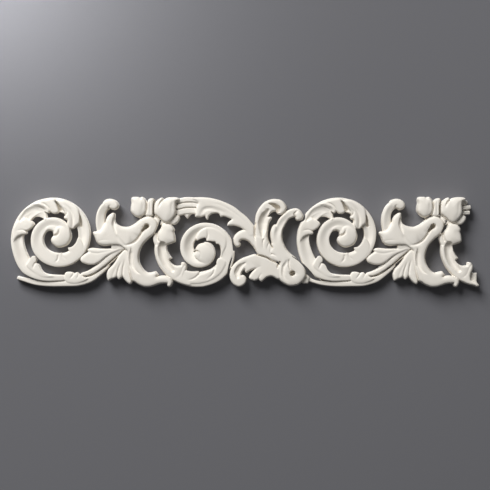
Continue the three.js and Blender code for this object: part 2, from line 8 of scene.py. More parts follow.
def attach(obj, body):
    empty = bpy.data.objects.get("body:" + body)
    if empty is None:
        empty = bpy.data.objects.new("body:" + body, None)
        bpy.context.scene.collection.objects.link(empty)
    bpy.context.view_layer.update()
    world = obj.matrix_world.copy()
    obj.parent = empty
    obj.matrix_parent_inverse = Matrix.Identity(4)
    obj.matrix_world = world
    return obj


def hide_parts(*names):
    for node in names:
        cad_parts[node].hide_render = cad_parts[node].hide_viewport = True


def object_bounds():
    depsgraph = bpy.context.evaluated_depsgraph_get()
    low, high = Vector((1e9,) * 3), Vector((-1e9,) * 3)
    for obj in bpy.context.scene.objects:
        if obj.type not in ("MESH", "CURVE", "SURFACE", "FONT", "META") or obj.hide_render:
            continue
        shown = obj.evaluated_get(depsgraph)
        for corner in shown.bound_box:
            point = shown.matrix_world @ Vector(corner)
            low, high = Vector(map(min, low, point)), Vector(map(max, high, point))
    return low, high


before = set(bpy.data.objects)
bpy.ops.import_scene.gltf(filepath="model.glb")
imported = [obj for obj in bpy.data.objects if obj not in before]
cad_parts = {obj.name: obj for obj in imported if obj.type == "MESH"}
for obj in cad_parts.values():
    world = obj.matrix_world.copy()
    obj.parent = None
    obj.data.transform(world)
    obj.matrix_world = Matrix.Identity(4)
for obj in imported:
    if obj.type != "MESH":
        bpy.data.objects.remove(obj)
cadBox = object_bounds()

mm = 0.001

# What a user would change on the casting; lengths in millimetres
moulding = {
    "repeatLength": 286,    # from one big scroll to the next
    "originX": 15,          # the mount's place on the drawing
    "originZ": -20,
    "draft": 0.45,          # how much a side leans in towards the front
    "sweepStep": 1.3,       # spacing of the sections along a swept form
    "profilePoints": 26,    # points round a swept section
    "outlineStep": 0.8,     # spacing of the points round a plate
    "plateGrid": 1.1,       # spacing of the points inside a plate
    "border": 1.6,          # how wide a plate's crisp border is
    "voxel": 0.36,          # the mould's own softness
    "smoothing": 1,         # rounds of smoothing after the carving
    "triangles": 190000,    # how fine the finished mesh is
    "grain": 0.5,           # the resin's grain, drawn coarser than the real one so that it shows
    "grainDepth": 0.04,
    "cloud": 15,            # how far apart its faint tone changes lie
}

sweeps = []
plates = []
cuts = []
slots = []


def sweep(rows, **shape):
    sweeps.append({"rows": rows, "band": 0, "edge": 0.5, "cove": (0, 1, 0), "ends": (True, True), **shape})


def plate(outline, **shape):
    plates.append({"outline": outline, "crest": 13, "edge": 0.86, "reach": 2.6, **shape})


def cut(depth, width, *points, **shape):    # a groove, or a rib where the depth is negative
    cuts.append({"points": points, "depth": depth, "width": width, "floor": None, "start": 1, "end": 0.15, **shape})


def gouge(*rows, power=4):    # a trough down to a stated height above the back: x, z, half width, height
    cuts.append({"points": [row[:2] for row in rows], "width": [row[2] for row in rows],
                 "floor": [row[3] for row in rows], "depth": 0, "power": power})


def dish(*rows):    # the same with gentle sides
    gouge(*rows, power=2)


def volute(centreX, centreZ, radius, lossPerTurn, fromAngle, turns, direction, widths, crests, coves):
    rowsPerTurn = 12
    stops = round(turns * rowsPerTurn)
    rows = []
    for i in range(stops + 1):
        share = i / stops
        angle = fromAngle + direction * share * turns * 2 * math.pi
        width, crest, cove = (np.interp(share * (len(run) - 1), range(len(run)), run)
                              for run in (widths, crests, coves))
        out = radius - lossPerTurn * turns * share - width / 2
        rows.append((centreX + out * math.cos(angle), centreZ + out * math.sin(angle), width / 2, crest, cove))
    return rows


def shifted(draw, dx):    # draws a unit and moves what it added along the length
    marks = [len(forms) for forms in (sweeps, plates, cuts)]
    draw(dx > 0)
    for forms, mark, key in zip((sweeps, plates, cuts), marks, ("rows", "outline", "points")):
        for form in forms[mark:]:
            form[key] = [(point[0] + dx, *point[1:]) for point in form[key]]


def bigScroll():
    band = volute(-190.4, 5.5, 44.8, 20, math.pi, 1.5, -1, (12.5, 14, 12.5, 14.5, 12.8, 11.5, 11),
                  (12, 12, 12, 12.5, 13, 13, 13), (2.2, 1.2, 2, 0, 1.3, 0.9, 0.4))
    sweep([(-180, -35, 3, 10.6, 0), (-191, -35.2, 3.3, 11.8, 0), (-200, -34.6, 4, 12.4, 0),
           (-209, -31.5, 5.4, 12.6, 0), (-218, -25, 7.4, 12.6, 0.6), (-224.5, -15, 7, 12.3, 1.8), *band], band=1,
          edge=0.9, cove=(-0.4, 1, 5))
    # Eye of the scroll and the small tongue beside it
    plate([(-190, 16), (-192.5, 11), (-193, 7, 1), (-194.8, 4), (-194.7, 1), (-192.5, -2), (-188, -4.6),
           (-183, -4.2), (-178, -1.5), (-174.9, 4), (-174.8, 9), (-177, 14), (-183, 18)], crest=14.2, reach=11,
          edge=0.66)
    plate([(-203, 10.2, 1), (-199, 11.5), (-195.4, 12.1), (-193.4, 11), (-192.6, 8.4, 1), (-189, 10), (-189, 17),
           (-196, 18), (-201, 15)], crest=12.5, edge=0.75)
    cut(3, 1.6, (-194.5, 6.8), (-191, 7.4), (-187.5, 9.5), (-186.5, 13))
    # Tuft on the left of the band
    plate([(-232.8, -0.5, 1), (-228, 6), (-223.5, 8), (-220.5, 8, 1), (-218.7, 9.5), (-219.5, 11.5, 1),
           (-214.5, 14.5), (-211.5, 18.5, 1), (-213, 21), (-219, 24, 1), (-222, 25.5), (-226, 24), (-231, 19),
           (-233.8, 10)], crest=12.9, edge=0.9, reach=3)
    cut(0.6, 1.3, (-219.5, 11.5), (-224, 13), (-230, 12))
    # Leaf in the cove above it
    plate([(-217, 23, 1), (-213, 25.3), (-207, 26), (-202, 24), (-199, 22.5, 1), (-198.5, 25), (-199.5, 29),
           (-201.5, 31, 1), (-208, 33), (-216, 31), (-224, 26, 1)], crest=10.4, reach=2.4, edge=0.94)
    cut(-0.8, 1.6, (-200.2, 23.6), (-200, 27), (-201.8, 31), end=1)
    dish((-225.4, 22.6, 3, 11.4), (-218, 29.6, 6.8, 10.4), (-210, 32.4, 7.6, 10.3), (-203.4, 31.4, 6.4, 10.4))
    # Lobes at the top, on a leaf that rises from the outer rim
    plate([(-215, 37.8, 1), (-209.5, 36.8), (-205, 36), (-201.5, 33.5), (-200, 31, 1), (-197.5, 29.5),
           (-195.5, 31.5, 1), (-193.5, 29.5), (-191, 29), (-188.5, 29.5), (-187, 31), (-188, 35),
           (-190.5, 41.5, 1), (-192, 44.2), (-200, 43.4), (-208, 41)], crest=13.2, edge=0.9, reach=3)
    cut(1, 1.4, (-195.5, 31), (-196.6, 34), (-200, 38), (-207, 41))
    gouge((-190.2, 41.4, 0.7, 9), (-187.6, 37.2, 1.1, 5.5), (-185.6, 33, 1.6, 4))
    # Drooping leaf
    plate([(-190, 42, 1), (-184, 34.5), (-181.5, 31), (-181, 27, 1), (-182, 25.5), (-180.5, 23.2, 1),
           (-178.5, 22.5), (-179, 19), (-177, 14.8), (-174.5, 13.8), (-172.5, 14), (-170, 16), (-166, 20),
           (-165.5, 26, 1), (-167, 34), (-174, 40), (-183, 43.5)], crest=14, reach=3.4, edge=0.82)
    cut(1.1, 2.1, (-173.2, 16), (-173, 25), (-175.6, 32.5), (-181.5, 39.5))
    cut(-0.4, 1.6, (-177, 17.5), (-176.6, 25), (-179.5, 32.5), (-185.5, 39.5))
    cut(1.2, 1.4, (-181, 26.6), (-178.6, 30), (-181, 35))
    gouge((-165.8, 27.5, 0.5, 10), (-165, 22, 1.1, 5), (-164.6, 17, 1.2, 6))
    # Tuft at the lower left
    plate([(-217, -18.5, 1), (-215.5, -15.5), (-212.5, -13), (-210, -15), (-209.5, -18), (-210.5, -20.5, 1),
           (-208, -21), (-206.3, -23), (-204, -27.5), (-199, -31.5), (-192, -33.6, 1), (-203, -34), (-213, -28.5),
           (-219, -22.5)], crest=12.9, edge=0.98, reach=3)
    cut(0.8, 1.4, (-210.6, -20.4), (-212, -23), (-213, -26))
    # Lobes inside the second turn
    plate([(-199, -19), (-198, -12, 1), (-195, -10.8), (-192, -10.5), (-189, -12), (-187.5, -13.5, 1),
           (-186.5, -11), (-185, -9.8), (-183.5, -11, 1), (-181, -11.5), (-178, -10), (-176, -9, 1),
           (-177.5, -6.5), (-178, -4.8, 1), (-174, -4), (-170, 0), (-167.5, 5), (-163, -1), (-163.5, -9.5),
           (-171, -17.5), (-182, -22.2), (-192, -22.8), (-199, -20.6)], crest=12.3, edge=0.98, reach=3)
    cut(0.7, 1.4, (-187.5, -13), (-188, -16.5), (-191, -19.5))
    cut(0.5, 1.3, (-183.5, -10.6), (-182.5, -14), (-179, -17))


def strandsAndClip():
    sweep([(-229, -34.8, 1.9, 8), (-220, -37.5, 2.3, 8.4), (-210, -40, 2.6, 9.4), (-198, -41.2, 2.7, 10.2),
           (-182, -41, 2.9, 10.4), (-168, -39.7, 3.8, 10.4), (-156, -36.3, 3.5, 9.8), (-148, -31.4, 2.8, 9),
           (-142, -26.9, 1.9, 9), (-136.5, -22, 1, 8.5)], band=1, edge=0.84, ends=(False, True))
    # Clip: a leaf tied round them
    plate([(-181.5, -37.5), (-181.5, -32), (-180, -29.5), (-176.5, -29), (-173, -29.8), (-172, -31, 1),
           (-170.5, -29.8), (-168.5, -29.5), (-167, -31, 1), (-163, -33.5), (-156, -35.5, 1), (-162, -39),
           (-170, -41.2), (-178, -40.6, 1)], crest=11.2, reach=4, edge=0.88)
    cut(0.7, 1.3, (-172, -30.6), (-173.4, -33), (-176, -36))
    cut(0.5, 1.3, (-167.2, -30.8), (-167.6, -33), (-169.4, -36))
    # Rod that climbs to the calyx
    sweep([(-166, -31.8, 1.6, 9.4), (-158, -30.4, 2.7, 10.4), (-150, -26, 3.1, 10.8), (-142, -19.9, 3.1, 11),
           (-134, -13.2, 3, 11.4), (-126, -6.8, 2.9, 11.8), (-120.5, -3, 2.8, 12)], band=1, edge=0.72)
    cut(0.9, 0.9, (-166, -30.4), (-158, -27.9), (-150, -23.8), (-143.4, -18.6), end=0)
    sweep([(-140, -23.8, 0.9, 9), (-132, -16.6, 1.3, 9.6), (-123, -9.4, 1.6, 10)])
    cut(2, 0.9, (-161, -34), (-155, -33), (-148, -28.8), (-140, -22.6), (-132, -15.4), (-123.6, -8.6), start=0.5,
        end=0.6)


def calyx():
    # Rolled horn
    sweep([(-142.5, 6, 5, 11, 0), (-145, 15, 4.9, 12.5, 1), (-145.8, 22, 4.9, 13, 1.2),
           (-145, 29, 4.5, 13.4, 1.2), (-141.8, 35.2, 4.4, 14, 1), (-136.6, 38.6, 4.8, 14.6, 0)], band=1,
          edge=0.8, cove=(-0.7, 1.3, 3))
    plate([(-141.5, 36.5), (-138.5, 34), (-136, 34.6), (-134, 33.1), (-131, 32.8), (-128.3, 34.3), (-127, 37.5),
           (-128, 40.3), (-131, 42.9), (-136, 44), (-141, 42.6), (-143, 39.5)], crest=14.8, reach=4.5, edge=0.78)
    cut(0.9, 1.4, (-136.4, 34.2), (-136.6, 36.4), (-135, 38), end=0)
    # Spiked leaf, throat and stem
    plate([(-140.7, 19.5, 1), (-139.5, 24), (-137, 27.5), (-133, 30), (-131, 29.5, 1), (-130.7, 26), (-131, 23.5),
           (-130, 20), (-127, 17.5), (-119, 16), (-113, 18), (-105, 24), (-100, 26.2), (-95, 26.2), (-89.5, 22),
           (-88, 18), (-88.5, 14), (-91, 9.5), (-99, 2.5), (-104, -3.5), (-107, -13.5), (-105, -22.5),
           (-98.5, -29.5), (-90, -28.3, 1), (-87.5, -32), (-89, -33.5, 1), (-81, -32.8), (-75, -35.5), (-73, -39),
           (-75, -43.8), (-77, -44.3), (-78.5, -43), (-79, -40.5, 1), (-85, -41), (-95, -44), (-100, -44.3),
           (-105, -43), (-113.5, -38, 1), (-116.5, -30), (-118, -20), (-119, -8, 1), (-126, -3),
           (-134.5, -2.5, 1), (-142, -3), (-147, -1.5), (-149.5, 1, 1), (-151.5, 6.5), (-153, 9.5), (-152.5, 11),
           (-147, 11.5, 1), (-144, 14)], crest=15, reach=5, edge=0.76)
    dish((-131.6, 24, 2, 12.6), (-131.8, 18.4, 3, 12.6), (-130.2, 12.4, 3.2, 13.8), (-128.4, 8, 2.4, 15))
    gouge((-103.6, 12, 1, 6), (-99.2, 16.6, 2, 3))
    cut(2.4, 1.8, (-102.5, 12.5), (-106, 7), (-108.5, 3.5), (-112, 0.5), (-116, -1.5), (-121, -2.5))
    cut(0.6, 2.6, (-130, 9), (-127, 3.5), (-122, -1.5), start=0.2, end=0.8)
    cut(0.25, 1.4, (-150.5, 1), (-143, 2.8), (-134, 2.4))
    dish((-114.4, -5, 2, 14.8), (-114.6, -10, 3.2, 13), (-114.8, -16, 3.8, 12.4), (-113.6, -22.6, 3.8, 12.4),
         (-110, -28, 3, 13.6), (-105, -31.5, 2, 14.8))
    plate([(-134.5, -2, 1), (-128, -1), (-121, -1.5), (-121, -6), (-130, -7), (-134.5, -5.4, 1)], crest=12.4,
          edge=0.96)
    # Side lobe
    plate([(-121, -2.5, 1), (-132, -5.2), (-145, -5.8), (-155, -5.2), (-158.5, -7), (-157.5, -9, 1), (-163, -13),
           (-165.5, -16.5), (-164, -19.5), (-155, -22.2), (-148, -20.5), (-138, -13), (-121, -6, 1)],
          crest=12.6, reach=3.4)
    cut(0.35, 1.5, (-158, -8.8), (-150, -10.5), (-138, -8.5), (-128, -5.5))
    # Fan of lobes that hangs below
    plate([(-121, -7), (-133, -22), (-138, -27.5), (-139.2, -33), (-137.5, -38), (-135.5, -37), (-130.5, -35),
           (-129, -34.3, 1), (-127, -36.7), (-125, -35.5), (-123.5, -33.6, 1), (-119.5, -39), (-115.5, -41.5),
           (-113.5, -38), (-114, -25), (-116, -10)], crest=12.5, reach=2.8)
    cut(0.9, 1.4, (-129, -34.5), (-127.6, -27), (-124.4, -18), end=0)
    cut(1, 1.4, (-123.5, -33.5), (-122.6, -25), (-120.8, -16), end=0)
    cut(0.3, 1.4, (-134, -36), (-131.6, -28), (-127, -20), end=0)
    cut(2, 1.4, (-113.7, -38.5), (-115.6, -30), (-117.2, -20), end=0)


def flowers(cutShort):
    if cutShort:    # only the starts of the next reeds
        for z, rise, reach, half in ((39, 1.6, -64.4, 2), (34.4, 1.2, -61.2, 2.3), (29.8, 0.4, -62, 2.3)):
            sweep([(-72, z, half, 10), (reach, z + rise, half, 9)], ends=(True, False), band=1, edge=0.8)
    plate([(-114.5, 40), (-114.8, 43), (-114, 45.4), (-108, 46), (-106, 45, 1), (-104, 46), (-101.5, 44.8),
           (-99.2, 41), (-99, 35), (-99.5, 31), (-102, 27.5), (-107, 25.2), (-110, 26), (-115, 31), (-115.2, 36)],
          crest=16.5, reach=9, edge=0.66)
    plate([(-98.5, 41), (-97, 43.5), (-95, 44.5), (-92.5, 44.3), (-91, 43), (-92.5, 37), (-92.8, 27, 1),
           (-97, 26), (-101, 28), (-99.4, 35)], crest=14.5, reach=2.4)
    cut(2.2, 1.2, (-99.6, 44), (-99, 38), (-99, 33), (-101, 27), end=0.6)
    cut(0.5, 1.3, (-96.4, 44), (-95.6, 38), (-95.4, 32), (-95.6, 27), end=0.6)
    cut(0.4, 1.8, (-106, 45.5), (-103.4, 41), (-102.8, 35), (-104.5, 29))
    plate([(-90.8, 40), (-92.2, 34), (-92, 30), (-88, 25.5), (-82, 20.5), (-78, 20), (-71.5, 26), (-69.8, 30),
           (-69.9, 38), (-69.5, 41), (-66.8, 42.5), (-66.5, 44), (-69, 45.3), (-79, 45), (-81.5, 43.5, 1),
           (-84, 45.2), (-87.5, 43.5)], crest=17, reach=10.5, edge=0.66)
    cut(2.4, 1.5, (-81.3, 44.2), (-84.5, 41), (-87, 36))
    cut(0.3, 1.8, (-73.4, 43), (-74, 36), (-74.4, 30), (-76.6, 25), start=0.3)
    gouge((-91.6, 43, 0.8, 7), (-92.4, 36, 0.8, 6), (-92.4, 29, 1, 7))
    plate([(-84, 19.5), (-77, 19), (-72, 18), (-69, 19.5), (-66.5, 23), (-66.2, 25.5), (-69, 27.5), (-74, 24),
           (-80, 22.5)], crest=12.5)
    plate([(-83, 19.3), (-75, 18.3), (-71.3, 13.5), (-72, 11, 1), (-70.6, 6), (-70.7, 1), (-74, -0.7),
           (-80, -2.5), (-86, -2.2), (-89, 5), (-88, 10.5), (-85.5, 14)], crest=16, reach=9.5, edge=0.66)
    plate([(-89, 10), (-92, 7.5), (-93, 4), (-91, -2.5), (-89.5, -4.2), (-84, -4.5), (-84, 6)], crest=12)
    plate([(-92, 27), (-86, 28), (-82, 22), (-85, 18), (-90, 20)], crest=11.5)
    cut(1.6, 1.5, (-88.8, 13.5), (-88.8, 7), (-87, 2), (-82.5, -2.2), end=0.7)
    cut(2.4, 1.4, (-93, 26.5), (-88, 25.6), (-84.6, 22), (-84.6, 18.5))


def lowerCurl(cutShort):
    end = [(-59, -42.7), (-54.6, -44.1), (-53, -42.6), (-55, -39.6, 1), (-61, -37.4, 1)]
    if not cutShort:
        end = [(-54, -44, 1), (-54, -36, 1)]
    plate([(-91.3, -2, 1), (-91.5, -9), (-90, -16), (-87, -23), (-82, -30), (-76, -35.5), (-70, -39),
           (-64, -41.6), *end, (-61.5, -33), (-60, -28.5), (-59, -25), (-60, -21), (-62, -19.5), (-64.5, -19.5),
           (-65, -22.5, 1), (-70, -22.8), (-74, -21), (-77, -17.5, 1), (-73.5, -15.5, 1), (-75.5, -13),
           (-78.5, -8), (-79.5, -2, 1)], crest=12.8, reach=2.8, edge=0.8)
    if cutShort:    # the next scroll's band, cut off square
        plate([(-63, -34, 1), (-60.5, -31), (-57, -29.8, 1), (-55, -30, 1), (-55.1, -39.4, 1), (-62, -39, 1)],
              crest=8.4, edge=0.92, reach=1.5)
    cut(0.35, 1.2, (-60, -21), (-63, -25), (-66, -32), (-72, -36))
    dish((-84, -4, 4.6, 9.2), (-83, -12, 4.8, 9.2), (-79, -20.6, 4.8, 9.6), (-73.4, -27.4, 3.6, 10.8))


def lowerScroll():
    band = volute(-43.6, -7.2, 37, 19.6, -math.pi / 2, 1.5, 1, (15.5, 14, 12.5, 14, 14.5, 11, 10),
                  (12, 12, 12, 12.5, 13, 13, 13), (0, 0.3, 2.4, 3.6, 2.4, 1.1, 0.4))
    sweep([(-66, -36.5, 4.6, 11, 0), (-56, -37.4, 6.6, 12, 0), *band], band=1, edge=0.9, cove=(0.62, 1.2, 4.6))
    plate([(-47, -19), (-52, -13), (-51.4, -9, 1), (-50, -5), (-47.5, -1.6), (-43, -0.2), (-38, -1), (-34, -4),
           (-31, -10), (-33, -18), (-40, -22)], crest=14.2, reach=11, edge=0.66)
    gouge((-51.6, -8.6, 0.6, 5), (-49.4, -7.9, 0.6, 7), (-47.6, -8.6, 0.5, 11))
    cut(0.5, 1.3, (-46.6, -9.4), (-45.4, -12), (-46, -16))
    plate([(-62, -28.2), (-54, -28.7), (-47, -28.4, 1), (-47.5, -32, 1), (-43, -30.5), (-37, -28), (-31, -25, 1),
           (-29.5, -22), (-29.5, -19), (-27.5, -15.5), (-24.5, -15, 1), (-20, -19), (-25, -30), (-36, -38),
           (-50, -41), (-62, -39)], crest=12.7, reach=3, edge=0.95)
    cut(0.8, 1.5, (-47.5, -32), (-51, -35), (-58, -37.5))
    cut(0.7, 1.5, (-31, -25), (-33, -31), (-39, -36.5))
    plate([(-20, -3), (-22.6, -9), (-25.2, -14.6, 1), (-24.7, -9), (-25, -4.5), (-27, -1.5), (-30, -1, 1),
           (-30.5, 1), (-34, 1.5), (-39.5, 2, 1), (-40.5, 5), (-44, 4.5), (-49.5, 2, 1), (-48, 9), (-40, 15),
           (-30, 14), (-20, 6)], crest=12.5, reach=3, edge=0.96)
    cut(0.8, 1.5, (-39.5, 2), (-38, 8), (-39, 14))


def arch():
    # Three reeds run into it: their heights at three places, half width, crest and rise
    reeds = ((41, 43, 42.2, 2.9, 10.6, 1.7), (35.4, 38, 37.5, 3, 11, 0), (29.4, 32, 32, 3.5, 10.6, 0))
    for left, middle, right, half, crest, rise in reeds:
        sweep([(-70, left, half, crest), (-60, middle, half, crest + rise / 2), (-48, right, half, crest + rise),
               (-40, right - 1, half, crest + rise)], band=1, edge=0.86)
    cut(2, 0.9, (-70, 38.2), (-62, 40.2), (-55, 40.6), (-50, 40.2), end=0.3)
    cut(2, 0.9, (-70, 32.6), (-62, 34.8), (-55, 35.2), (-50.4, 35), end=0.8)
    plate([(-64, 30), (-62, 27.5), (-58.5, 24, 1), (-56, 27.5), (-51, 31)], crest=9.5)
    plate([(-54, 44.6), (-45, 45.5), (-36, 44.8), (-28, 43), (-20, 40), (-12, 36), (-5, 30.5), (0, 26.5), (5, 21),
           (8.5, 16), (10, 8), (4, 6), (-2, 13), (-10, 16.8), (-19, 17, 1), (-18, 20), (-14, 23.5, 1),
           (-18, 25.2), (-23, 26.5), (-25.5, 25.5, 1), (-27, 29), (-33, 29.3), (-36.5, 27), (-38, 23, 1),
           (-39.5, 23.5), (-41, 27, 1), (-46, 25.6), (-51, 26, 1), (-49.5, 34.5), (-48, 40)], crest=13.4, reach=4,
          edge=0.9)
    cut(0.9, 3, (-45.6, 27), (-42, 33), (-36, 34.4), (-28, 32.5), (-18, 29), start=0.4)
    cut(0.25, 1.6, (-37, 40), (-26, 38), (-14, 31.5), (-3, 23), (4, 14), start=0)
    # Small curl under the arch
    plate([(6, 13), (-2, 13.5), (-9, 10), (-12.6, 5), (-12.4, 0), (-10, -4), (-8, -4.6), (-5.5, -3), (-5, -1),
           (-6, 0.5), (-5, 2.5), (-2, 2.8), (2, 1.4), (7, -4), (10, -8.5), (13, -12), (16, -6), (12, 6)],
          crest=13, reach=3.6, edge=0.74)


def horns():
    plate([(9, 12), (8.8, 18), (10.5, 30), (17, 39.5), (22, 42.5), (28, 43.8), (34, 43), (38, 40.5), (40.7, 35.5),
           (39, 31), (36, 28.5), (34, 28), (31.5, 29), (30, 31, 1), (27, 31), (21, 25.5, 1), (24, 26.2), (26, 25),
           (23, 19), (22, 12), (22, 5), (24, 0), (27, -5), (28, -19), (20, -15), (12, -11.5), (10, -5), (8, 3)],
          crest=13.8, reach=2.4, edge=0.8)
    dish((16.2, 6, 3, 12.8), (16.6, 12.6, 4.4, 10.6), (16.8, 20, 5, 9.8), (18.6, 27, 4.2, 10),
         (22, 32.4, 2.6, 11.6))
    gouge((23, 4, 0.7, 2), (24.6, -1, 0.7, 2), (26.6, -5, 0.4, 6))
    gouge((23.4, 39.2, 0.8, 12), (28, 37.6, 1.8, 7.5), (31.8, 34.6, 2.2, 6), (32, 31.4, 1.6, 7))
    # Ribbed leaf at its foot
    plate([(9, 7.5, 1), (12, 7.4), (15.5, 6.4), (17.6, 2.8, 1), (18.4, 5.4), (20.9, 5.9, 1), (21.6, 2),
           (22.8, -1.2, 1), (23.4, -3.4), (25, -6.4, 1), (24.4, -9), (27, -13), (31, -18.4), (21, -15.2),
           (12, -11.4), (9.6, -4)], crest=14.2, reach=3, edge=0.93)
    cut(0.7, 1.2, (17.6, 3.2), (16.8, -1), (17.4, -6))
    cut(0.6, 1.2, (22.8, -0.6), (21.4, -4), (22, -8))
    cut(4, 1.3, (9.2, 19), (8.6, 9), (9.2, 3))
    # Second horn, running down into the rolled end
    plate([(24, -10), (24, -3), (25.5, 0), (24.5, 5), (24.5, 11), (26, 15.5), (28, 18), (29.5, 18.5),
           (30, 17.5, 1), (33, 24), (40, 31), (44, 33.5), (49, 34.5), (53, 33.5), (57.5, 27), (56.5, 23.5),
           (54, 22), (51, 22), (49.5, 23.5), (49, 26, 1), (43, 23.5), (37, 13), (36.3, 8), (37, 2), (42, -8),
           (50, -15), (58, -23), (60, -29), (59.5, -34), (53, -41.5), (48, -43), (42, -42.8), (33, -36.5),
           (32, -28), (33, -20), (27, -16)], crest=14.6, reach=6, edge=0.76)
    cut(1.6, 4, (31, 2), (31.6, 11), (36, 20), (43, 27.4), (49, 30.6), start=0.2, end=0.4)
    cut(1.6, 1.4, (49.2, 26), (48.4, 29), (51, 31.6), end=0.3)
    # Tuft on its left, below
    plate([(27, -5.4, 1), (24.6, -7.4), (24.2, -10), (25.8, -11.4, 1), (23.8, -13), (25.6, -16, 1), (31, -18.6),
           (36, -19.4, 1), (34.4, -12), (31.4, -7.4)], crest=14.6, reach=2.6, edge=0.95)
    cut(0.7, 1.2, (25.8, -11.4), (28, -12), (30, -13.6))
    # Rolled end with its hole
    gouge((46.3, -30.6, 2.2, 3), (46.5, -30.4, 2.2, 3))
    cut(1.5, 1.3, (43.2, -17), (42.8, -21), (43.8, -25.6), (45, -27.6), start=0.4, end=1)
    cut(1.4, 2.4, (41, -18.6), (37.4, -25), (37.6, -33), (41.6, -38), start=0.4)
    cut(3.4, 1.2, (33.6, -19.4), (32, -22), (31.4, -26), end=0)


def footLeaf():
    plate([(2, -13.2), (6, -11.8), (9, -11.3), (14, -12.3), (22, -15), (31, -20), (35, -26), (33, -36.5),
           (26, -33.7), (21, -34.5), (18, -37), (15.5, -39), (12.5, -36.5, 1), (9, -38), (5, -37), (3, -35),
           (4, -32), (9, -26, 1), (5, -27.5), (0, -30), (-1, -28.5), (-1.5, -26.5, 1), (-3.5, -29), (-5, -32, 1),
           (-2, -32.5), (0, -35), (0.3, -38.5), (-2, -42), (-7, -44), (-12, -42), (-15.5, -37), (-16.3, -31),
           (-14, -24), (-9.5, -19), (-4, -15.5)], crest=13.8, reach=3, edge=0.86)
    dish((-1, -20.4, 2.6, 13), (-6, -24, 3.8, 11.6), (-8.8, -29.6, 4, 11), (-8.2, -34, 3, 12))
    cut(5, 1.2, (11, -12), (17, -13.4), (22, -15.4), (27, -18.5), (33, -20.5))
    cut(0.4, 1.3, (12.5, -36), (13.8, -33), (16, -30))
    cut(0.3, 1.3, (9.4, -26), (12, -24.4), (15, -23.2))
    plate([(61, -31.5, 1), (64, -34), (62, -41, 1), (56, -40)], crest=10)


def partings():    # narrow slots right through, where two forms pass close to each other: x, z, half width
    slots.append([(-15, 11, 0.8), (-13.8, 6, 0.8), (-13.2, 1, 0.75), (-12.6, -4, 0.75), (-12.2, -8, 0.8)])
    slots.append([(57, 34, 0.9), (58.2, 29.5, 0.9), (58.6, 26, 0.9), (57.4, 22.8, 0.9), (54.4, 21.2, 0.6)])
    slots.append([(46, -13.5, 0.3), (52, -17.4, 0.6), (57, -22, 0.9), (60, -25.4, 1.3), (62, -28.2, 1.8),
                  (63.8, -31, 2.4), (66.6, -34, 2.1), (70, -36.3, 1.2), (75, -38.1, 0.3)])
    slots.append([(-14, -15, 0.5), (-15.4, -19, 0.8), (-17, -25, 0.9), (-18, -31, 0.9), (-18.6, -35, 0.9)])
    slots.append([(-219, -34.2, 0.8), (-214, -36.4, 0.7), (-208, -37.8, 0.3)])
    for dx in (0, moulding["repeatLength"]):    # between the stem and the lower bud
        slots.append([(dx - 91.4, 9, 0.5), (dx - 89.4, 12.6, 0.8), (dx - 87.6, 16.4, 0.9), (dx - 86.2, 20, 0.9),
                      (dx - 85.4, 23, 0.8)])


def bridges(*pairs):    # low ties behind the open work
    half, height = 1.4, 2.4
    for startX, startZ, endX, endZ in pairs:
        sweep([(startX, startZ, half, height), (endX, endZ, half, height)])


def unit(last):
    bigScroll()
    strandsAndClip()
    calyx()
    flowers(last)
    lowerCurl(last)
    bridges((-107, 29, -104, 21), (-96, 31, -86, 30), (-95, -36, -72, -36))


shifted(unit, 0)
shifted(unit, moulding["repeatLength"])
lowerScroll()
arch()
horns()
footLeaf()
partings()
bridges((-14, 2, -6, 0), (-18, -26, -8, -26), (34, 33, 44, 30), (50, 27, 64, 26), (50, -34, 70, -38))
print("drawing:", len(sweeps), "sweeps,", len(plates), "plates,", len(cuts), "cuts")


def smoothRun(points, closed=False):    # dense points on a centripetal spline, with each one's place in the list
    points = np.array([point[:2] for point in points], float)
    count = len(points)
    if closed:
        chain = np.vstack([points[-1], points, points[:2]])
    else:
        chain = np.vstack([2 * points[0] - points[1], points, 2 * points[-1] - points[-2]])
    spans = count if closed else count - 1
    stepsPerSpan = 16
    dense, places = [], []
    for i in range(spans):
        a, b, c, d = chain[i:i + 4]
        ta = 0.0
        tb = ta + max(np.linalg.norm(b - a), 1e-6) ** 0.5
        tc = tb + max(np.linalg.norm(c - b), 1e-6) ** 0.5
        td = tc + max(np.linalg.norm(d - c), 1e-6) ** 0.5
        for step in range(stepsPerSpan):
            t = tb + (tc - tb) * step / stepsPerSpan
            ab = (a * (tb - t) + b * (t - ta)) / (tb - ta)
            bc = (b * (tc - t) + c * (t - tb)) / (tc - tb)
            cd = (c * (td - t) + d * (t - tc)) / (td - tc)
            abc = (ab * (tc - t) + bc * (t - ta)) / (tc - ta)
            bcd = (bc * (td - t) + cd * (t - tb)) / (td - tb)
            dense.append((abc * (tc - t) + bcd * (t - tb)) / (tc - tb))
            places.append(i + step / stepsPerSpan)
    dense.append(points[0] if closed else points[-1])
    places.append(spans)
    return np.array(dense), np.array(places)


def resampled(points, step, closed=False):
    dense, places = smoothRun(points, closed)
    reach = np.concatenate([[0], np.cumsum(np.linalg.norm(np.diff(dense, axis=0), axis=1))])
    count = max(1, round(reach[-1] / step))
    at = np.linspace(0, reach[-1], count + 1)
    spots = np.column_stack([np.interp(at, reach, dense[:, i]) for i in (0, 1)])
    return spots, np.interp(at, reach, places), at


def outlineOf(outline, step):    # smooth between the sharp corners
    corners = [i for i, point in enumerate(outline) if len(point) > 2]
    if not corners:
        return resampled(outline, step, True)[0][:-1]
    runs = []
    for k, start in enumerate(corners):
        end = corners[(k + 1) % len(corners)]
        count = (end - start - 1) % len(outline) + 1
        run = [outline[(start + i) % len(outline)] for i in range(count + 1)]
        runs.append(resampled(run, step)[0][:-1])
    return np.vstack(runs)


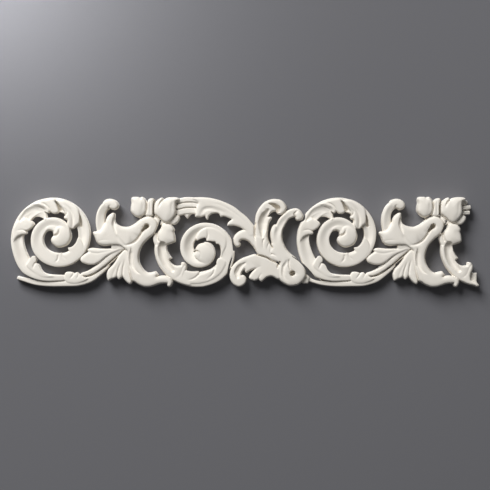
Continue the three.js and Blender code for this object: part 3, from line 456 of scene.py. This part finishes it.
def framePoint(x, z, height):    # from the drawing to the frame, in metres
    return ((x - moulding["originX"]) * mm, -height * mm, (z - moulding["originZ"]) * mm)


def sweepPaths():    # every swept form as a line of points that carry their section's sizes
    names = ("side", "halfWidth", "crest", "edge", "band", "coveAt", "coveReach", "coveDepth")
    points, edges, values = [], [], {name: [] for name in names}
    leastRounding, leastHalf = 0.02, 0.25    # a rounded end closes to a blunt tip
    tipCrest, tipRise = 0.8, 0.2             # and is a little lower there
    for form in sweeps:
        rows = form["rows"]
        spots, places, at = resampled(rows, moulding["sweepStep"])
        halves = np.interp(places, range(len(rows)), [row[2] for row in rows])
        crests = np.interp(places, range(len(rows)), [row[3] for row in rows])
        coves = np.interp(places, range(len(rows)), [row[4] if len(row) > 4 else form["cove"][2] for row in rows])
        rounding = np.ones(len(spots))
        tips = ((at, halves[0]), (at[-1] - at, halves[-1]))
        for rounded, (fromEnd, half) in zip(form["ends"], tips):
            if rounded:
                inside = 1 - np.clip(fromEnd / half, 0, 1)
                rounding = np.minimum(rounding, np.sqrt(np.maximum(1 - inside * inside, leastRounding)))
        along = np.gradient(spots, axis=0)
        along /= np.linalg.norm(along, axis=1, keepdims=True)
        first = len(points)
        for i, (x, z) in enumerate(spots):
            points.append(framePoint(x, z, 0))
            values["side"].append((-along[i][1], 0, along[i][0]))
            values["halfWidth"].append(max(halves[i] * rounding[i], leastHalf) * mm)
            values["crest"].append(crests[i] * (tipCrest + tipRise * rounding[i]) * mm)
            values["edge"].append(form["edge"])
            values["band"].append(form["band"])
            values["coveAt"].append(form["cove"][0])
            values["coveReach"].append(form["cove"][1])
            values["coveDepth"].append(coves[i] * rounding[i] * mm)
        edges += [(i, i + 1) for i in range(first, len(points) - 1)]
    mesh = bpy.data.meshes.new("sweep_paths")
    mesh.from_pydata(points, edges, [])
    values["centre"] = points
    for name, column in values.items():
        kind, field = ("FLOAT_VECTOR", "vector") if name in ("side", "centre") else ("FLOAT", "value")
        attribute = mesh.attributes.new(name, kind, "POINT")
        attribute.data.foreach_set(field, np.array(column, dtype=np.float32).ravel())
    return bpy.data.objects.new("sweep_paths", mesh)


def node(tree, kind, links=(), **settings):    # adds a node, sets it and joins sockets or values to its inputs
    made = tree.nodes.new(kind)
    for name, value in settings.items():
        setattr(made, name, value)
    for socket, source in dict(links).items():
        if hasattr(source, "is_output"):
            tree.links.new(source, made.inputs[socket])
        else:
            made.inputs[socket].default_value = source
    return made


def sweepTree(material):    # a section with rims and a cove carried along every path
    tree = bpy.data.node_groups.new("sweptForms", "GeometryNodeTree")
    tree.interface.new_socket("Geometry", in_out="INPUT", socket_type="NodeSocketGeometry")
    tree.interface.new_socket("Points Round", in_out="INPUT", socket_type="NodeSocketInt")
    tree.interface.new_socket("Draft", in_out="INPUT", socket_type="NodeSocketFloat")
    tree.interface.new_socket("Geometry", in_out="OUTPUT", socket_type="NodeSocketGeometry")
    given = node(tree, "NodeGroupInput")
    pointsRound = given.outputs["Points Round"]

    def calc(operation, a, b=0.0, c=0.0):
        return node(tree, "ShaderNodeMath", {0: a, 1: b, 2: c}, operation=operation).outputs[0]

    def named(name, kind="FLOAT"):
        return node(tree, "GeometryNodeInputNamedAttribute", {"Name": name}, data_type=kind).outputs["Attribute"]

    paths = node(tree, "GeometryNodeMeshToCurve", {"Mesh": given.outputs["Geometry"]})
    circle = node(tree, "GeometryNodeCurvePrimitiveCircle", {"Resolution": pointsRound, "Radius": mm})
    index = node(tree, "GeometryNodeInputIndex")
    around = node(tree, "GeometryNodeStoreNamedAttribute", {"Geometry": circle.outputs["Curve"], "Name": "around",
                  "Value": index.outputs[0]}, data_type="FLOAT", domain="POINT")
    tube = node(tree, "GeometryNodeCurveToMesh", {"Curve": paths.outputs["Curve"],
                "Profile Curve": around.outputs["Geometry"], "Fill Caps": True})
    spot = named("around")
    last = calc("SUBTRACT", pointsRound, 3.0)    # the other two points are the back's corners
    turn = calc("MULTIPLY", calc("DIVIDE", spot, last), math.pi)
    top = calc("MULTIPLY", calc("COSINE", turn), -1.0)
    isBack = calc("GREATER_THAN", spot, calc("ADD", last, 0.5))
    backSide = calc("SUBTRACT", 1.0, calc("MULTIPLY", calc("GREATER_THAN", spot, calc("ADD", last, 1.5)), 2.0))
    isFront = calc("SUBTRACT", 1.0, isBack)
    place = calc("ADD", calc("MULTIPLY", top, isFront), calc("MULTIPLY", backSide, isBack))
    square = calc("MULTIPLY", place, place)
    round2 = calc("SQRT", calc("MAXIMUM", calc("SUBTRACT", 1.0, square), 0.0))
    fourth = calc("MULTIPLY", square, square)
    round4 = calc("SQRT", calc("SQRT", calc("MAXIMUM", calc("SUBTRACT", 1.0, fourth), 0.0)))
    band = named("band")
    swell = calc("ADD", calc("MULTIPLY", round4, band), calc("MULTIPLY", round2, calc("SUBTRACT", 1.0, band)))
    crest = named("crest")
    edge = calc("MULTIPLY", crest, named("edge"))
    off = calc("DIVIDE", calc("SUBTRACT", place, named("coveAt")), named("coveReach"))
    hollow = calc("MAXIMUM", calc("SUBTRACT", 1.0, calc("MULTIPLY", off, off)), 0.0)
    sunk = calc("MULTIPLY", calc("MULTIPLY", hollow, hollow), named("coveDepth"))
    height = calc("SUBTRACT", calc("ADD", edge, calc("MULTIPLY", calc("SUBTRACT", crest, edge), swell)), sunk)
    height = calc("MULTIPLY", height, isFront)
    wide = named("halfWidth")
    leastShare = 0.6    # of the half width stays, however much the side leans in
    leaning = calc("SUBTRACT", wide, calc("MULTIPLY", given.outputs["Draft"], isFront))
    half = calc("MAXIMUM", leaning, calc("MULTIPLY", wide, leastShare))
    side, centre = named("side", "FLOAT_VECTOR"), named("centre", "FLOAT_VECTOR")
    out = calc("MULTIPLY", place, half)
    across = node(tree, "ShaderNodeVectorMath", {0: side, "Scale": out}, operation="SCALE")
    rise = node(tree, "ShaderNodeCombineXYZ", {"Y": calc("MULTIPLY", height, -1.0)})
    flat = node(tree, "ShaderNodeVectorMath", {0: centre, 1: across.outputs[0]}, operation="ADD")
    final = node(tree, "ShaderNodeVectorMath", {0: flat.outputs[0], 1: rise.outputs[0]}, operation="ADD")
    moved = node(tree, "GeometryNodeSetPosition", {"Geometry": tube.outputs["Mesh"], "Position": final.outputs[0]})
    real = node(tree, "GeometryNodeRealizeInstances", {"Geometry": moved.outputs["Geometry"]})
    dressed = node(tree, "GeometryNodeSetMaterial", {"Geometry": real.outputs["Geometry"], "Material": material})
    node(tree, "NodeGroupOutput", {"Geometry": dressed.outputs["Geometry"]})
    return tree


def plainMesh(obj, name):    # what the modifiers make, as a mesh of its own
    bpy.context.view_layer.update()
    evaluated = obj.evaluated_get(bpy.context.evaluated_depsgraph_get())
    mesh = bpy.data.meshes.new_from_object(evaluated)
    mesh.name = name
    return mesh


def plateMesh():    # every plate, its top rounded over from its outline
    points, faces = [], []
    rowShare = 0.87     # row spacing of a grid of near equal triangles
    rimGap = 0.45       # how near the outline a grid point may lie
    borderShare, swellShare = 0.45, 0.55    # of the rounding
    for form in plates:
        ring = outlineOf(form["outline"], moulding["outlineStep"])
        count = len(ring)
        after = np.roll(ring, -1, axis=0)
        if np.sum(ring[:, 0] * after[:, 1] - after[:, 0] * ring[:, 1]) < 0:
            ring = ring[::-1]
            after = np.roll(ring, -1, axis=0)
        low, high = ring.min(axis=0), ring.max(axis=0)
        step = moulding["plateGrid"]
        gridX, gridZ = np.meshgrid(np.arange(low[0], high[0], step), np.arange(low[1], high[1], step * rowShare))
        gridX[::2] += step / 2
        grid = np.column_stack([gridX.ravel(), gridZ.ravel()])
        run = after - ring
        toPoint = grid[:, None, :] - ring[None]
        share = np.clip(np.sum(toPoint * run[None], axis=2) / np.maximum(np.sum(run * run, axis=1), 1e-9), 0, 1)
        gaps = np.linalg.norm(toPoint - share[..., None] * run[None], axis=2).min(axis=1)
        crossing = (ring[None, :, 1] > grid[:, 1:]) != (after[None, :, 1] > grid[:, 1:])
        slope = run[:, 0] / np.where(np.abs(run[:, 1]) < 1e-9, 1e-9, run[:, 1])
        hitX = ring[None, :, 0] + (grid[:, 1:] - ring[None, :, 1]) * slope[None]
        inside = (crossing & (grid[:, :1] < hitX)).sum(axis=1) % 2 == 1
        keep = inside & (gaps > rimGap)
        grid, gaps = grid[keep], gaps[keep]
        flat = [Vector(point) for point in np.vstack([ring, grid])]
        loop = [(i, (i + 1) % count) for i in range(count)]
        cdtPoints, _, cdtFaces, origins, _, _ = delaunay_2d_cdt(flat, loop, [], 1, 1e-5)
        inset = np.concatenate([np.zeros(count), gaps])
        widths = (min(moulding["border"], form["reach"]), form["reach"])
        heights = []
        for source in origins:
            inward = inset[source[0]] if source else 0
            border, swell = (math.sqrt(1 - (1 - min(inward / width, 1)) ** 2) for width in widths)
            rounded = borderShare * border + swellShare * swell
            heights.append(form["crest"] * (form["edge"] + (1 - form["edge"]) * rounded))
        first = len(points)
        points += [framePoint(point.x, point.y, height) for point, height in zip(cdtPoints, heights)]
        faces += [tuple(first + i for i in face) for face in cdtFaces]
        # Side wall and back, upright from the outline
        rim = {source[0]: first + i for i, source in enumerate(origins) if source and source[0] < count}
        normal = np.roll(ring, 1, axis=0) - after
        normal = np.column_stack([-normal[:, 1], normal[:, 0]])
        normal /= np.maximum(np.linalg.norm(normal, axis=1, keepdims=True), 1e-9)
        foot = len(points)
        points += [framePoint(*spot, 0) for spot in ring]
        faces += [(rim[(i + 1) % count], rim[i], foot + i, foot + (i + 1) % count) for i in range(count)]
        faces.append(tuple(foot + i for i in reversed(range(count))))
    mesh = bpy.data.meshes.new("plates")
    mesh.from_pydata(points, [], faces)
    mesh.validate()
    return mesh


def slotMesh():    # every slot as a thin upright block, to be taken out of the casting
    points, faces = [], []
    front, behind = 25, -2    # past both faces of the casting
    for rows in slots:
        line, places, _ = resampled(rows, 1)
        halves = np.interp(places, range(len(rows)), [row[2] for row in rows])[:, None]
        along = np.gradient(line, axis=0)
        along /= np.linalg.norm(along, axis=1, keepdims=True)
        side = np.column_stack([-along[:, 1], along[:, 0]]) * halves
        ring = np.vstack([line - side, (line + side)[::-1]])
        first, count = len(points), len(ring)
        points += [framePoint(x, z, front) for x, z in ring] + [framePoint(x, z, behind) for x, z in ring]
        for i in range(count):
            following = first + (i + 1) % count
            faces.append((following, first + i, first + count + i, following + count))
        faces += [tuple(range(first, first + count)), tuple(reversed(range(first + count, first + 2 * count)))]
    mesh = bpy.data.meshes.new("slots")
    mesh.from_pydata(points, [], faces)
    return mesh


def carve(mesh):    # grooves, ribs and troughs cut into the joined casting, all along the depth
    spots = np.empty(len(mesh.vertices) * 3)
    mesh.vertices.foreach_get("co", spots)
    spots = spots.reshape(-1, 3)
    flat = np.column_stack([spots[:, 0] / mm + moulding["originX"], spots[:, 2] / mm + moulding["originZ"]])
    height = -spots[:, 1] / mm
    lineStep = 0.6
    searchShare, troughShare = 1.45, 1.4    # how far out points are looked for and a trough acts, in half widths
    sideRise = 4                            # of a trough at its half width
    narrow, steepPower = 1.5, 8             # a trough narrower than this has steep sides
    untouched = 99
    leastHeight, fadeFrom, fadeOver = 1, 3, 5    # the back stays flat, and grooves fade out towards it
    for form in cuts:
        line, places, _ = resampled(form["points"], lineStep)
        stops = range(len(form["points"]))
        widths = np.interp(places, stops, form["width"]) if form["floor"] else np.full(len(line), form["width"])
        wide = widths.max() * searchShare
        near = np.all((flat > line.min(axis=0) - wide) & (flat < line.max(axis=0) + wide), axis=1)
        chosen = np.flatnonzero(near & (height > leastHeight))
        if not len(chosen):
            continue
        gap = np.linalg.norm(flat[chosen][:, None] - line[None], axis=2)
        best = gap.argmin(axis=1)
        distance = gap[np.arange(len(chosen)), best]
        share = distance / widths[best]
        if form["floor"]:
            floors = np.interp(places, range(len(form["floor"])), form["floor"])[best]
            limit = floors + sideRise * share ** np.where(widths[best] < narrow, steepPower, form["power"])
            limit = np.where(share < troughShare, limit, untouched)
            height[chosen] = np.minimum(height[chosen], limit)
        else:
            along = np.interp(best / (len(line) - 1), (0, 0.25, 0.6, 1), (form["start"], 1, 0.85, form["end"]))
            amount = form["depth"] * along * np.clip(1 - share ** 2, 0, 1) ** 2
            height[chosen] -= amount * np.clip((height[chosen] - fadeFrom) / fadeOver, 0, 1)
    spots[:, 1] = -height * mm
    mesh.vertices.foreach_set("co", spots.ravel())
    mesh.update()


def linear(code):    # sRGB hex to linear colour
    channels = [int(code[i:i + 2], 16) / 255 for i in (0, 2, 4)]
    return (*[c / 12.92 if c <= 0.04045 else ((c + 0.055) / 1.055) ** 2.4 for c in channels], 1)


def castResin():    # filled polyurethane resin out of a mould: even off-white, satin, faintly grained and cloudy
    material = bpy.data.materials.new("cast_resin")
    material.use_nodes = True
    tree = material.node_tree
    tree.nodes.clear()
    spot = node(tree, "ShaderNodeTexCoord").outputs["Object"]

    def noise(size):
        grains = node(tree, "ShaderNodeTexNoise", {"Vector": spot, "Scale": 1 / (size * mm), "Detail": 3.0})
        return grains.outputs[0]

    tone = node(tree, "ShaderNodeMix", {0: noise(moulding["cloud"]), 6: linear("e6dfd3"), 7: linear("efeae1")},
                data_type="RGBA")
    sheen = node(tree, "ShaderNodeMapRange", {0: noise(moulding["cloud"] / 3), 3: 0.52, 4: 0.68})
    bump = node(tree, "ShaderNodeBump", {"Height": noise(moulding["grain"]), "Strength": 0.25,
                "Distance": moulding["grainDepth"] * mm})
    shader = node(tree, "ShaderNodeBsdfPrincipled", {"Roughness": sheen.outputs[0], "Base Color": tone.outputs[2],
                  "Normal": bump.outputs[0], "IOR": 1.5})
    node(tree, "ShaderNodeOutputMaterial", {"Surface": shader.outputs[0]})
    return material


resin = castResin()
paths = sweepPaths()
bpy.context.collection.objects.link(paths)
swept = paths.modifiers.new("swept", "NODES")
swept.node_group = sweepTree(resin)
inputs = {item.name: item.identifier for item in swept.node_group.interface.items_tree if item.in_out == "INPUT"}
swept[inputs["Points Round"]] = moulding["profilePoints"]
swept[inputs["Draft"]] = moulding["draft"] * mm
sweptMesh = plainMesh(paths, "swept_forms")
bpy.data.objects.remove(paths)
print("swept forms:", len(sweptMesh.vertices), "points")

joined = bpy.data.meshes.new("rough_casting")
allPoints, allFaces = [], []
for mesh in (plateMesh(), sweptMesh):
    first = len(allPoints)
    allPoints += [tuple(v.co) for v in mesh.vertices]
    allFaces += [tuple(first + i for i in p.vertices) for p in mesh.polygons]
    bpy.data.meshes.remove(mesh)
joined.from_pydata(allPoints, [], allFaces)
casting = bpy.data.objects.new("scroll_casting", joined)
bpy.context.collection.objects.link(casting)
remesh = casting.modifiers.new("remesh", "REMESH")
remesh.mode = "VOXEL"
remesh.voxel_size = moulding["voxel"] * mm
casting.data = plainMesh(casting, "casting_voxels")
casting.modifiers.clear()
print("voxels:", len(casting.data.vertices), "points")
slotObject = bpy.data.objects.new("slots", slotMesh())
bpy.context.collection.objects.link(slotObject)
taken = casting.modifiers.new("slots", "BOOLEAN")
taken.operation = "DIFFERENCE"
taken.solver = "MANIFOLD"
taken.object = slotObject
casting.data = plainMesh(casting, "slotted_casting")
casting.modifiers.clear()
bpy.data.objects.remove(slotObject)
print("slots taken out:", len(casting.data.vertices), "points")
carve(casting.data)
smooth = casting.modifiers.new("smooth", "SMOOTH")
smooth.factor = 0.5
smooth.iterations = moulding["smoothing"]
thin = casting.modifiers.new("thin", "DECIMATE")
thin.ratio = min(1, moulding["triangles"] / (len(casting.data.polygons) * 2))
casting.data = plainMesh(casting, "scroll_casting")
casting.modifiers.clear()
spots = np.empty(len(casting.data.vertices) * 3, dtype=np.float32)
casting.data.vertices.foreach_get("co", spots)
inset = 1e-5    # the fine mesh is never bigger than the CAD part
spots = np.clip(spots.reshape(-1, 3), np.array(cadBox[0]) + inset, np.array(cadBox[1]) - inset)
casting.data.vertices.foreach_set("co", spots.astype(np.float32).ravel())
casting.data.update()
casting.data.materials.clear()
casting.data.materials.append(resin)
casting.data.shade_smooth()
print("casting:", len(casting.data.polygons), "faces")
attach(casting, "root")
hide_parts("scroll_moulding")


# What a user would change on the wall, the lamps and the camera; metres
studio = {
    "wallSize": 6,
    "wallGap": 0.0006,      # behind the casting's flat back
    "wallPaint": "69696d",
    "wallRoughness": 0.9,
    "lamps": (              # name, place, size, watts, what it points at, spread in degrees
        ("key", (-1.3, -2.0, 2.2), 1.8, 137, (0, 0, 0), 180),
        ("fill", (0.6, -2.4, 0.3), 1.6, 3, (0, 0, 0), 180),
        ("wash", (-0.33, -0.25, 0.34), 0.12, 0.78, (-0.3, 0, 0.33), 108),    # brightens the wall's upper left
        ("back", (0.2, 2.6, 0.9), 1.6, 40, (0, 0, 0), 180),
    ),
    "sky": 0.07,
    "distance": 2.0,        # camera to wall
    "pictureWidth": 0.49,
}


# The wall shows only from in front: seen from behind it is clear and casts no shadow, so that the casting's
# flat back can be looked at under a lamp of its own. From in front it is plain matt paint.
def wallAndLight():
    wall = bpy.data.meshes.new("wall")
    size = studio["wallSize"] / 2
    gap = studio["wallGap"]
    corners = [(-size, gap, -size), (size, gap, -size), (size, gap, size), (-size, gap, size)]
    wall.from_pydata(corners, [], [(0, 1, 2, 3)])
    wallObject = bpy.data.objects.new("wall", wall)
    bpy.context.collection.objects.link(wallObject)
    paint = bpy.data.materials.new("wall_paint")
    paint.use_nodes = True
    tree = paint.node_tree
    tree.nodes.clear()
    shader = node(tree, "ShaderNodeBsdfPrincipled", {"Roughness": studio["wallRoughness"],
                  "Base Color": linear(studio["wallPaint"])})
    clear = node(tree, "ShaderNodeBsdfTransparent")
    side = node(tree, "ShaderNodeNewGeometry")
    oneSided = node(tree, "ShaderNodeMixShader",
                    {0: side.outputs["Backfacing"], 1: shader.outputs[0], 2: clear.outputs[0]})
    node(tree, "ShaderNodeOutputMaterial", {"Surface": oneSided.outputs[0]})
    wall.materials.append(paint)
    wallObject.visible_shadow = False
    for name, place, size, power, aim, spread in studio["lamps"]:
        light = bpy.data.lights.new(name, "AREA")
        light.size = size
        light.energy = power
        light.spread = math.radians(spread)
        lamp = bpy.data.objects.new(name, light)
        lamp.location = place
        lamp.rotation_euler = (Vector(aim) - Vector(place)).to_track_quat("-Z", "Y").to_euler()
        lamp.visible_camera = False
        bpy.context.collection.objects.link(lamp)
    world = bpy.data.worlds.new("studio")
    world.use_nodes = True
    background = world.node_tree.nodes["Background"]
    background.inputs[0].default_value = (1, 1, 1, 1)
    background.inputs[1].default_value = studio["sky"]
    bpy.context.scene.world = world
    bpy.context.scene.view_settings.view_transform = "Standard"


def photoCamera():
    camera = bpy.data.cameras.new("camera")
    sensor = 36
    camera.sensor_width = sensor
    camera.sensor_height = sensor
    camera.sensor_fit = "HORIZONTAL"
    distance = studio["distance"]
    reliefMiddle = 0.009    # the picture's width is that of the plane half way up the relief
    camera.lens = sensor * (distance - reliefMiddle) / studio["pictureWidth"]
    cameraObject = bpy.data.objects.new("camera", camera)
    centre = framePoint(-1, -2.2, 0)    # the middle of the picture on the drawing
    cameraObject.location = (centre[0], -distance, centre[2])
    cameraObject.rotation_euler = (math.pi / 2, 0, 0)
    bpy.context.collection.objects.link(cameraObject)
    bpy.context.scene.camera = cameraObject


wallAndLight()
photoCamera()
print("done")
